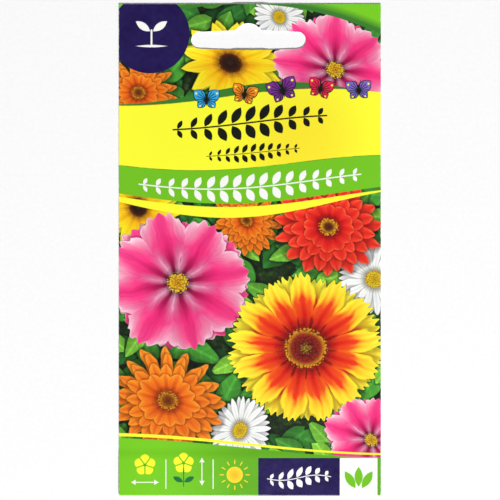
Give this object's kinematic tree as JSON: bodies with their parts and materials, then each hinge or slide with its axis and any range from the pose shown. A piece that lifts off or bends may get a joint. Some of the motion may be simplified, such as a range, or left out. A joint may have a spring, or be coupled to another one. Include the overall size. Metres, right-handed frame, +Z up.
{
  "type": "seed packet",
  "caption": "Flat folded paper seed packet with a printed flower front, a euro hang slot in its header, a lap seam and bottom flap, and loose seeds inside.",
  "frame": {"origin": "centre of the packet's base as it lies on its back", "axes": "+Z up through the printed face, +Y towards the slotted header, +X to the right of the printed face"},
  "size_m": [0.08, 0.15, 0.0029],
  "materials": {
    "coated_paper": "white coated paper about 0.12 mm thick, offset printed on the outside and varnished, semi-gloss",
    "glue": "dried white dispersion glue, thin and slightly translucent",
    "seed": "dry brown seed coat with a brush of pale silky hairs"
  },
  "bodies": {
    "root": {"packet_paper": "coated_paper", "header_glue": "glue", "seam_glue": "glue", "flap_glue": "glue", "seed_01": "seed", "seed_02": "seed", "seed_03": "seed", "seed_04": "seed", "seed_05": "seed", "seed_06": "seed", "seed_07": "seed", "seed_08": "seed", "seed_09": "seed", "seed_10": "seed", "seed_11": "seed", "seed_12": "seed", "seed_13": "seed", "seed_14": "seed", "seed_15": "seed", "seed_16": "seed", "seed_17": "seed", "seed_18": "seed", "seed_19": "seed", "seed_20": "seed"}
  },
  "joints": []
}
